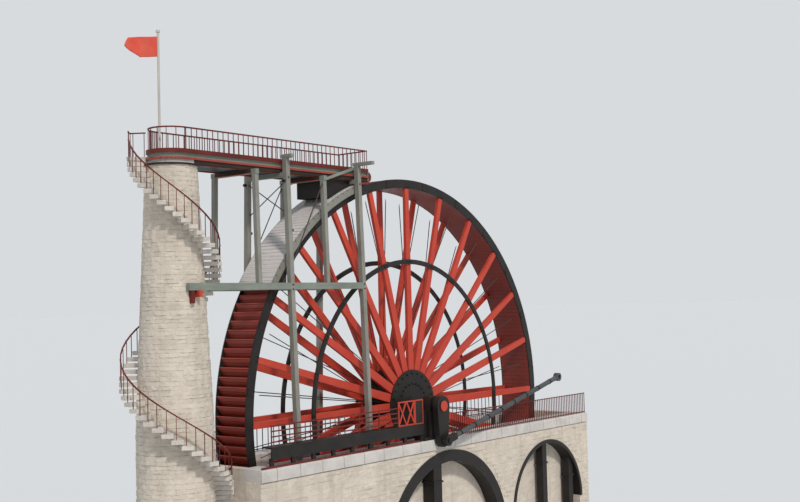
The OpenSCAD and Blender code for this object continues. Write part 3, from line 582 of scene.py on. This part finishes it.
def screen_panels():
    """Dark panel on the plain end of the near bearing screen, leaving a red frame round it."""
    made = bmesh.new()
    face_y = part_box("bearing_screens")[0][1]
    low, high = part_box("bearing_screens")[0][2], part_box("bearing_screens")[1][2]
    left, right = -1.58, -0.96
    margin = 0.055
    add_block(made, (left + margin, face_y - 0.008, low + margin),
              (right - margin, face_y + 0.004, high - margin))
    add_piece("screen_panels", made, black_iron, "structure")


def girder_rivets():
    """Rows of rivets along the top flanges of the platform's girders."""
    made = bmesh.new()
    flange_y = girder_y + 0.106
    count = 52
    run = platform_end - tower_x - 0.2
    for index in range(count + 1):
        x = tower_x + 0.1 + run * index / count
        for side in (-1, 1):
            for height in (girder_top - 0.035, girder_top - 0.135):
                add_bolt(made, (x, side * flange_y, height), (0, side, 0), 0.034, 0.014)
    add_piece("girder_rivets", made, rail_red, "structure")


def add_arc(made, radius, thick, low, high, start, end):
    """Upright band round the tower's axis, from one turn to another."""
    profile = [made.verts.new((radius, 0, low)), made.verts.new((radius + thick, 0, low)),
               made.verts.new((radius + thick, 0, high)), made.verts.new((radius, 0, high))]
    edges = [made.edges.new((profile[i], profile[(i + 1) % 4])) for i in range(4)]
    first = made.faces.new(profile)
    turned = Matrix.Rotation(start, 3, "Z")
    bmesh.ops.transform(made, matrix=turned.to_4x4(), verts=profile)
    bmesh.ops.spin(made, geom=edges + [first], cent=(0, 0, 0), axis=(0, 0, 1),
                   angle=end - start, steps=24, use_duplicate=False)


def girder_bands():
    """Painted bands on the girders: the dark red flange and the red ledge, round the tower's end too."""
    outer = girder_y + 0.1
    bands = (("girder_flange_band", rail_red, "rail_red", girder_top - 0.172, girder_top + 0.006),
             ("girder_ledge_band", bucket_red, "spoke_red", ledge_low - 0.004, ledge_top - 0.01))
    landing_from, stair_from = math.radians(123), math.radians(145)
    for name, finish, slot, bottom, top in bands:
        made = bmesh.new()
        for start, end in ((math.pi / 2, landing_from), (stair_from, math.pi * 1.5)):
            add_arc(made, outer - 0.004, 0.01, bottom, top, start, end)
        bmesh.ops.transform(made, matrix=Matrix.Translation((tower_x, 0, 0)), verts=made.verts[:])
        for side in (-1, 1):
            near, far = sorted((side * (outer - 0.004), side * (outer + 0.006)))
            add_block(made, (tower_x, near, bottom), (girder_end, far, top))
        add_block(made, (girder_end - 0.005, -outer, bottom), (girder_end + 0.007, outer, top))
        bmesh.ops.recalc_face_normals(made, faces=made.faces[:])
        add_piece(name, made, finish, "structure")


def girder_foot_band():
    """Whitewashed lower part of the girders where they run round the tower's head."""
    made = bmesh.new()
    outer, bottom, top = girder_y + 0.016, deck_z - 0.318, ledge_low - 0.005
    for start, end in ((math.pi / 2, math.radians(123)), (math.radians(145), math.pi * 1.5)):
        add_arc(made, outer, 0.012, bottom, top, start, end)
    bmesh.ops.transform(made, matrix=Matrix.Translation((tower_x, 0, 0)), verts=made.verts[:])
    for side in (-1, 1):
        near, far = sorted((side * outer, side * (outer + 0.012)))
        add_block(made, (tower_x, near, bottom), (tower_x + 0.4, far, top))
    bmesh.ops.recalc_face_normals(made, faces=made.faces[:])
    add_piece("girder_foot_band", made, tread_wash, "structure")


def deck_soffit():
    """Near-black boards under the walking deck: painted shade beneath the deck."""
    made = bmesh.new()
    add_block(made, (tower_x + 1.2, -0.79, deck_z - 0.094), (platform_end - 0.02, 0.79, deck_z - 0.079))
    add_piece("deck_soffit", made, painted_shade_board, "structure")


def girder_skirts():
    """Near-black boards below the girders' ledges, painted shade on the girders' lower part, with a red strip
    along the inner lower edge.
    """
    boards, strips = bmesh.new(), bmesh.new()
    left, low, high = tower_x + 0.4, deck_z - 0.34, ledge_low
    for side in (-1, 1):
        near, far = sorted((side * (girder_y + 0.02), side * (girder_y + 0.045)))
        add_block(boards, (left, near, low), (girder_end, far, high))
        near, far = sorted((side * (girder_y - 0.04), side * (girder_y + 0.045)))
        add_block(boards, (left, near, low), (girder_end, far, deck_z - 0.322))
        near, far = sorted((side * (girder_y - 0.065), side * (girder_y - 0.04)))
        add_block(strips, (left, near, low - 0.02), (girder_end, far, deck_z - 0.322))
    add_piece("girder_skirts", boards, painted_shade_board, "structure")
    add_piece("girder_skirt_strips", strips, bucket_red, "structure")


def beam_boards():
    """Near-black boards with a red lower edge on the cross beams that rest on the short posts; the near-black
    is painted shade under the platform.
    """
    boards, edges = bmesh.new(), bmesh.new()
    low, high, half_y = deck_z - 0.49, deck_z - 0.325, 1.12
    for x in short_posts_x:
        for side in (-1, 1):
            near, far = sorted((x + side * 0.1, x + side * 0.122))
            add_block(boards, (near, -half_y, low), (far, half_y, high))
            near, far = sorted((x + side * 0.1, x + side * 0.13))
            add_block(edges, (near, -half_y, low - 0.03), (far, half_y, low))
    add_piece("beam_boards", boards, painted_shade_board, "structure")
    add_piece("beam_board_edges", edges, bucket_red, "structure")


def rounded_end():
    """Half-round iron moulding across the end of the platform."""
    made = bmesh.new()
    middle, reach, half_y = deck_z - 0.12, 0.24, 0.97
    arc = [math.pi * (step / 24 - 0.5) for step in range(25)]
    rim = [made.verts.new((girder_end + reach * math.cos(turn), -half_y, middle + reach * math.sin(turn)))
           for turn in arc]
    lifted = bmesh.ops.extrude_face_region(made, geom=[made.faces.new(rim)])["geom"]
    moved = [item for item in lifted if isinstance(item, bmesh.types.BMVert)]
    bmesh.ops.translate(made, vec=(0, 2 * half_y, 0), verts=moved)
    bmesh.ops.recalc_face_normals(made, faces=made.faces[:])
    add_piece("rounded_end", made, rail_red, "structure")


def deck_boards():
    """Boards laid across the walking deck with open joints."""
    made = bmesh.new()
    pitch = 0.205
    chance = random.Random(51)
    x = tower_x + 0.8
    while x < platform_end - 0.25:
        rise = 0.018 + chance.uniform(0.0, 0.004)
        add_block(made, (x, -0.785, deck_z - 0.002), (x + pitch - 0.014, 0.785, deck_z + rise))
        x += pitch
    add_piece("deck_boards", made, deck_wood, "structure")


def casing_battens():
    """Boards of the curved casing, each with a narrow gap to the next."""
    made = bmesh.new()
    count = 36
    half_y = 0.99
    for index in range(count):
        turn = casing_from + (casing_to - casing_from) * (index + 0.5) / count
        tilt = Matrix.Translation((0, 0, axle_z)) @ Matrix.Rotation(-turn, 4, "Y")
        half = casing_out * (casing_to - casing_from) / count / 2 - 0.006
        add_block(made, (casing_out - 0.03, -half_y, -half), (casing_out + 0.018, half_y, half), tilt)
    add_piece("casing_battens", made, casing_paint, "structure")


def casing_bolts():
    """Bolts along the edge boards of the casing."""
    made = bmesh.new()
    edge_y = -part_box("casing_edges")[0][1]
    for index in range(19):
        turn = casing_from + (casing_to - casing_from) * (index + 0.5) / 19
        for side in (-1, 1):
            add_bolt(made, round_axle(turn, casing_out - 0.06, side * edge_y), (0, side, 0), 0.05, 0.025)
    add_piece("casing_bolts", made, black_iron, "structure")


def bracket_boards():
    """Dark red board that hangs on the tower beside each bracket of the side beams."""
    made = bmesh.new()
    for side in (-1, 1):
        near, far = sorted((side * 1.25, side * 1.46))
        add_block(made, (-14.24, near, 16.78), (-14.09, far, beam_top - 0.29))
    add_piece("bracket_boards", made, rail_red, "structure")


def column_heads():
    """Moulded heads on the columns that stand in the arches."""
    made = bmesh.new()
    columns = ((0.0, 0.64, 7.9), (9.76, 0.42, 7.6), (12.46, 0.42, 6.6))
    lip, head_h, column_y = 0.05, 0.09, 2.08
    for middle_x, width, height in columns:
        for side in (-1, 1):
            half = width / 2 + lip
            y = side * column_y
            add_block(made, (middle_x - half, y - half, height), (middle_x + half, y + half, height + head_h))
    add_piece("column_heads", made, black_iron, "structure")


# Flag

def flag_cloth():
    """Plain red flag flying from the pole, its free end drooping and its free corners folded back."""
    low, high = (Vector(corner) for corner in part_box("flag"))
    length = high.x - low.x
    height = high.z - low.z
    made = bmesh.new()
    bmesh.ops.create_grid(made, x_segments=54, y_segments=20, size=0.5)
    wave, turns = 0.09, math.radians(540)
    top_roll, low_roll = 0.010, 0.022
    free_end_drop = 0.30

    def sway(along, down):
        return wave * along * math.sin(turns * along) * (0.85 + 0.15 * down)

    def folded(at, start, end, radius):
        """Point of the flat cloth after the part beyond a line rolls back, and how far behind it lies."""
        run = (end - start).normalized()
        square = Vector((-run.y, run.x))
        if square.x < 0:
            square = -square
        beyond = (at - start).dot(square)
        if beyond <= 0:
            return at, 0.0
        on_line = at - square * beyond
        if beyond < math.pi * radius:
            roll = beyond / radius
            return on_line + square * radius * math.sin(roll), radius * (1 - math.cos(roll))
        return on_line - square * (beyond - math.pi * radius), 2 * radius

    for vertex in made.verts:
        flat = Vector(((0.5 - vertex.co.x) * length, (0.5 - vertex.co.y) * height))
        flat, behind_top = folded(flat, Vector((0.85 * length, 0)), Vector((length, 0.40 * height)),
                                  top_roll)
        flat, behind_low = folded(flat, Vector((0.52 * length, height)), Vector((length, 0.34 * height)),
                                  low_roll)
        along, down = flat.x / length, flat.y / height
        crease = 0.008 * math.sin(9 * down + 14 * along) * along
        droop = free_end_drop * along
        depth = sway(along, down) + crease + behind_top + behind_low
        vertex.co = Vector((high.x - 0.004 - along * (length - 0.008), depth,
                            high.z - 0.022 - down * (height - 0.03) - droop))
    bmesh.ops.recalc_face_normals(made, faces=made.faces[:])
    piece = add_piece("flag_cloth", made, bunting, "structure")
    for face in piece.data.polygons:
        face.use_smooth = True
    thick = piece.modifiers.new("cloth_thickness", "SOLIDIFY")
    thick.thickness = 0.003
    thick.offset = 0
    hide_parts("flag")


ring_bolts()
shroud_bolts()
shroud_cover_plates()
hub_bolts()
axle_end()
rod_bands()
wall_stones(-1)
wall_stones(1)
tower_stones()
post_bolts()
screen_panels()
girder_rivets()
girder_bands()
girder_foot_band()
deck_soffit()
girder_skirts()
beam_boards()
rounded_end()
deck_boards()
casing_battens()
casing_bolts()
bracket_boards()
column_heads()
flag_cloth()


# Camera, lights and floor

def photo_camera():
    """Camera at the photograph's place, turned by its yaw, pitch and roll."""
    yaw, pitch, roll = 0.8867, 0.0448, -0.0250
    ahead = Vector((math.sin(yaw) * math.cos(pitch), math.cos(yaw) * math.cos(pitch), math.sin(pitch)))
    level = Vector((math.cos(yaw), -math.sin(yaw), 0))
    above = level.cross(ahead)
    right = math.cos(roll) * level + math.sin(roll) * above
    up = -math.sin(roll) * level + math.cos(roll) * above
    data = bpy.data.cameras.new("photo_view")
    data.lens = 51.02
    data.sensor_width = 36
    data.clip_end = 6000
    camera = bpy.data.objects.new("photo_view", data)
    camera.matrix_world = Matrix.Translation((-43.521, -35.895, 16.639)) @ Matrix(
        (right, up, -ahead)).transposed().to_4x4()
    bpy.context.scene.collection.objects.link(camera)
    bpy.context.scene.camera = camera


def sun_light():
    data = bpy.data.lights.new("sun", "SUN")
    data.energy = 2.0
    data.angle = math.radians(6)
    data.color = (1.0, 0.96, 0.90)
    sun = bpy.data.objects.new("sun", data)
    toward = Vector((-0.35, -0.80, 0.85)).normalized()
    sun.matrix_world = facing(toward)
    bpy.context.scene.collection.objects.link(sun)


def soft_world():
    """Even sky light, with a plain pale background for the camera and for reflections."""
    world = bpy.data.worlds.new("studio")
    bpy.context.scene.world = world
    world.use_nodes = True
    tree = world.node_tree
    light = tree.nodes["Background"]
    light.inputs["Color"].default_value = (0.80, 0.86, 0.95, 1)
    light.inputs["Strength"].default_value = 0.62
    pale = tree.nodes.new("ShaderNodeBackground")
    pale.inputs["Color"].default_value = (0.686, 0.708, 0.731, 1)
    pale.inputs["Strength"].default_value = 1.0
    rays = tree.nodes.new("ShaderNodeLightPath")
    passing = math_node(tree, "MAXIMUM", rays.outputs["Is Glossy Ray"], rays.outputs["Is Transmission Ray"])
    seen = math_node(tree, "MAXIMUM", rays.outputs["Is Camera Ray"], passing)
    choose = tree.nodes.new("ShaderNodeMixShader")
    tree.links.new(seen, choose.inputs[0])
    tree.links.new(light.outputs[0], choose.inputs[1])
    tree.links.new(pale.outputs[0], choose.inputs[2])
    tree.links.new(choose.outputs[0], tree.nodes["World Output"].inputs["Surface"])


def pale_floor():
    made = bmesh.new()
    bmesh.ops.create_grid(made, x_segments=1, y_segments=1, size=2500)
    mesh = bpy.data.meshes.new("studio_floor")
    made.to_mesh(mesh)
    made.free()
    material, tree, shader, place = start_material("studio_floor_paint", 0.9)
    shader.inputs["Base Color"].default_value = (0.72, 0.73, 0.73, 1)
    mesh.materials.append(material)
    floor = bpy.data.objects.new("studio_floor", mesh)
    floor.location.z = -0.001
    bpy.context.scene.collection.objects.link(floor)


photo_camera()
sun_light()
soft_world()
pale_floor()
bpy.context.scene.view_settings.view_transform = "Standard"
